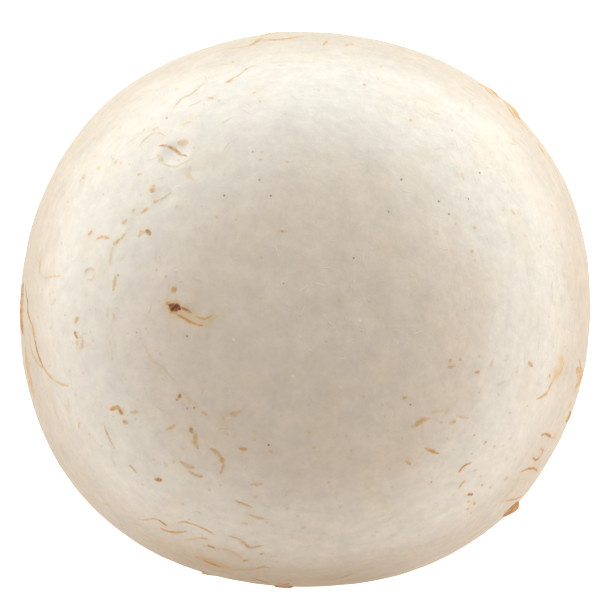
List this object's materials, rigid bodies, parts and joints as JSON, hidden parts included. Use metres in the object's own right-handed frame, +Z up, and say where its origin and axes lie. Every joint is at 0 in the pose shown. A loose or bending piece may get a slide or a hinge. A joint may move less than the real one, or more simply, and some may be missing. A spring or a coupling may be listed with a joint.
{
  "type": "button mushroom",
  "caption": "Closed button mushroom with a domed cap, trimmed stem, torn veil and gills, standing on its flat cut foot.",
  "frame": {"origin": "middle of the stem's flat cut foot, on the surface that it stands on", "axes": "+Z up along the stem to the crown of the cap; +X is along the cap's long way across, within 9 degrees, and +Y is across it"},
  "size_m": [0.0502, 0.0488, 0.039],
  "materials": {
    "cap_skin": "matte",
    "gill_flesh": "matte",
    "veil_skin": "matte",
    "stem_flesh": "matte"
  },
  "bodies": {
    "root": {"cap": "cap_skin", "gills": "gill_flesh", "veil": "veil_skin", "stem": "stem_flesh"}
  },
  "joints": []
}
